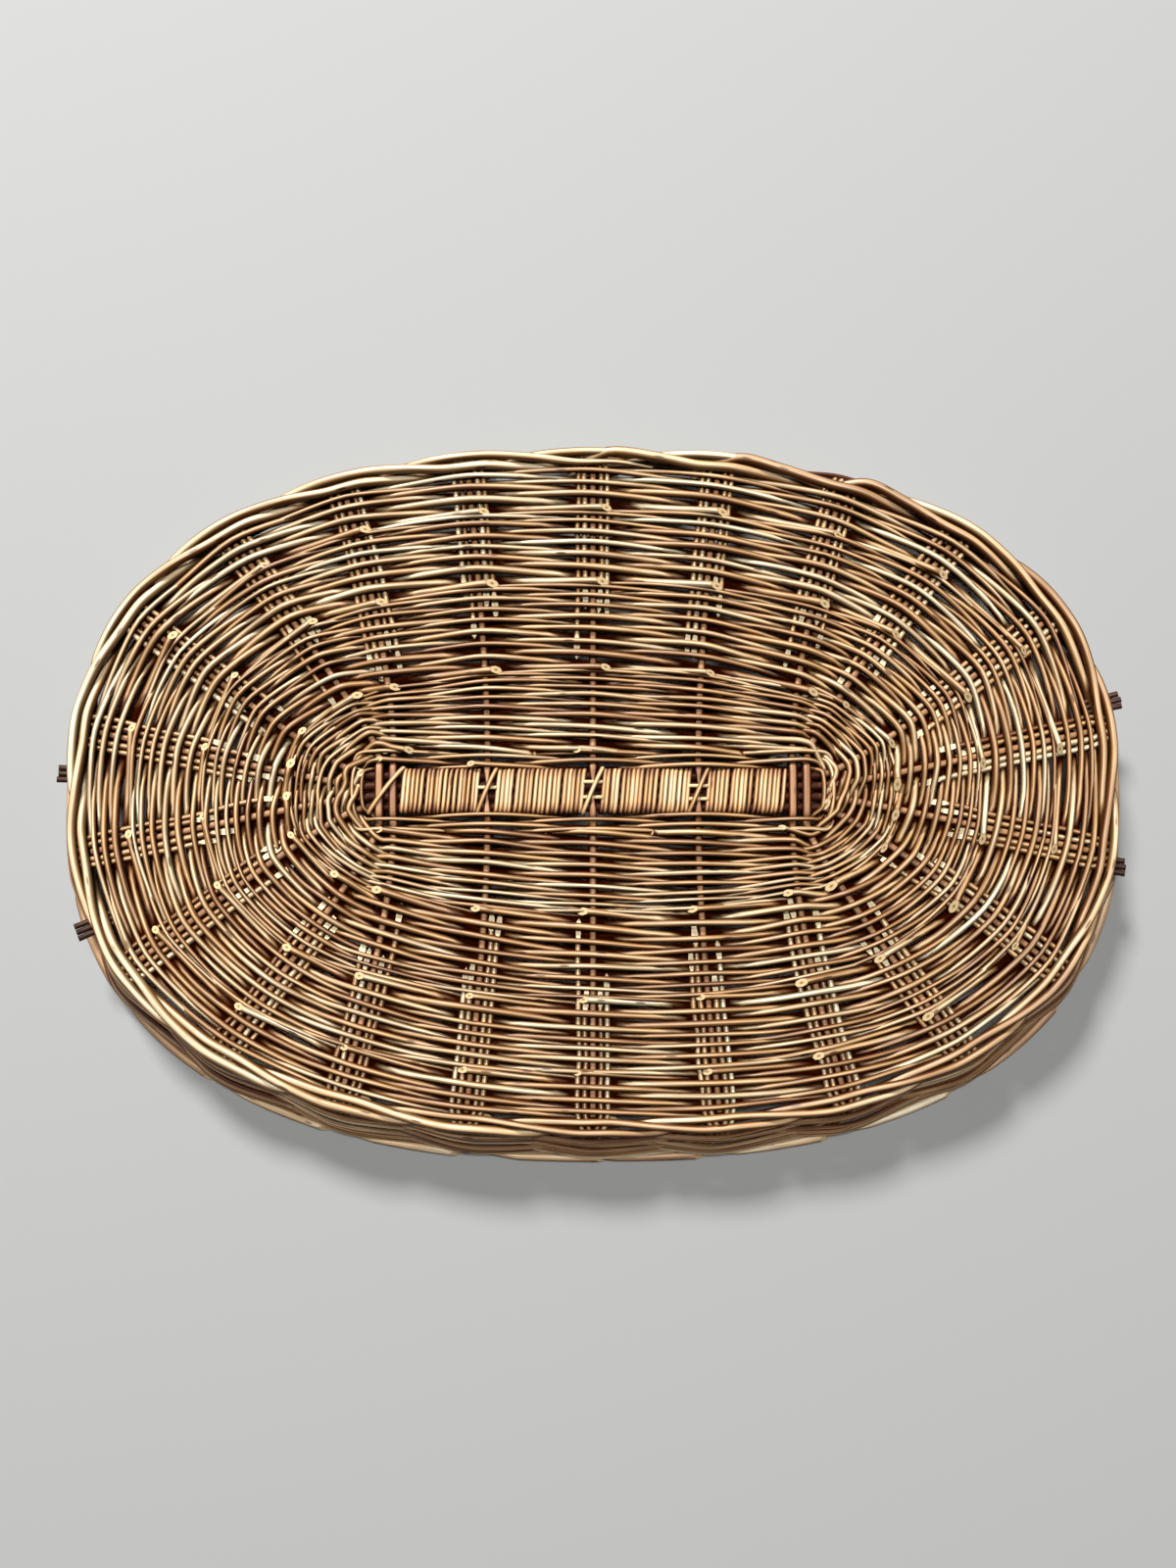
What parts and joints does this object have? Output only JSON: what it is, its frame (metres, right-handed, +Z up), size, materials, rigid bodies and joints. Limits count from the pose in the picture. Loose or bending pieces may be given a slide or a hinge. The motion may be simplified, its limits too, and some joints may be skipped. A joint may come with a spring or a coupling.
{
  "type": "drying basket",
  "caption": "Shallow oval willow drying basket, turned over on its border: bound stick base, woven bands, twisted edge and plaited border.",
  "frame": {"origin": "on the floor under the middle of the base", "axes": "+X along the length, +Y across the width, +Z up out of the underside of the base"},
  "size_m": [0.9608, 0.6488, 0.0634],
  "materials": {
    "base_sticks": "bark left on, dull",
    "slath_binding": "peeled and split, satin",
    "woven_rods": "buff willow, satin",
    "side_stakes": "buff willow, satin",
    "border_rods": "buff willow, satin"
  },
  "bodies": {
    "root": {"long_stick_1": "base_sticks", "long_stick_2": "base_sticks", "long_stick_3": "base_sticks", "long_stick_4": "base_sticks", "cross_stick_1": "base_sticks", "cross_stick_2": "base_sticks", "cross_stick_3": "base_sticks", "cross_stick_4": "base_sticks", "cross_stick_5": "base_sticks", "cross_stick_6": "base_sticks", "cross_stick_7": "base_sticks", "slath_binding_1": "slath_binding", "slath_binding_2": "slath_binding", "slath_binding_3": "slath_binding", "slath_binding_4": "slath_binding", "weaver_1a": "woven_rods", "weaver_2a": "woven_rods", "weaver_3a": "woven_rods", "weaver_4a": "woven_rods", "weaver_1b": "woven_rods", "weaver_2b": "woven_rods", "weaver_3b": "woven_rods", "weaver_4b": "woven_rods", "edge_wale_rod_1": "woven_rods", "edge_wale_rod_2": "woven_rods", "edge_wale_rod_3": "woven_rods", "stake_group_01": "side_stakes", "stake_group_02": "side_stakes", "stake_group_03": "side_stakes", "stake_group_04": "side_stakes", "stake_group_05": "side_stakes", "stake_group_06": "side_stakes", "stake_group_07": "side_stakes", "stake_group_08": "side_stakes", "stake_group_09": "side_stakes", "stake_group_10": "side_stakes", "stake_group_11": "side_stakes", "stake_group_12": "side_stakes", "stake_group_13": "side_stakes", "stake_group_14": "side_stakes", "stake_group_15": "side_stakes", "stake_group_16": "side_stakes", "stake_group_17": "side_stakes", "stake_group_18": "side_stakes", "stake_group_19": "side_stakes", "stake_group_20": "side_stakes", "stake_group_21": "side_stakes", "stake_group_22": "side_stakes", "border_rod_01": "border_rods", "border_rod_02": "border_rods", "border_rod_03": "border_rods", "border_rod_04": "border_rods", "border_rod_05": "border_rods", "border_rod_06": "border_rods", "border_rod_07": "border_rods", "border_rod_08": "border_rods", "border_rod_09": "border_rods", "border_rod_10": "border_rods", "border_rod_11": "border_rods"}
  },
  "joints": []
}
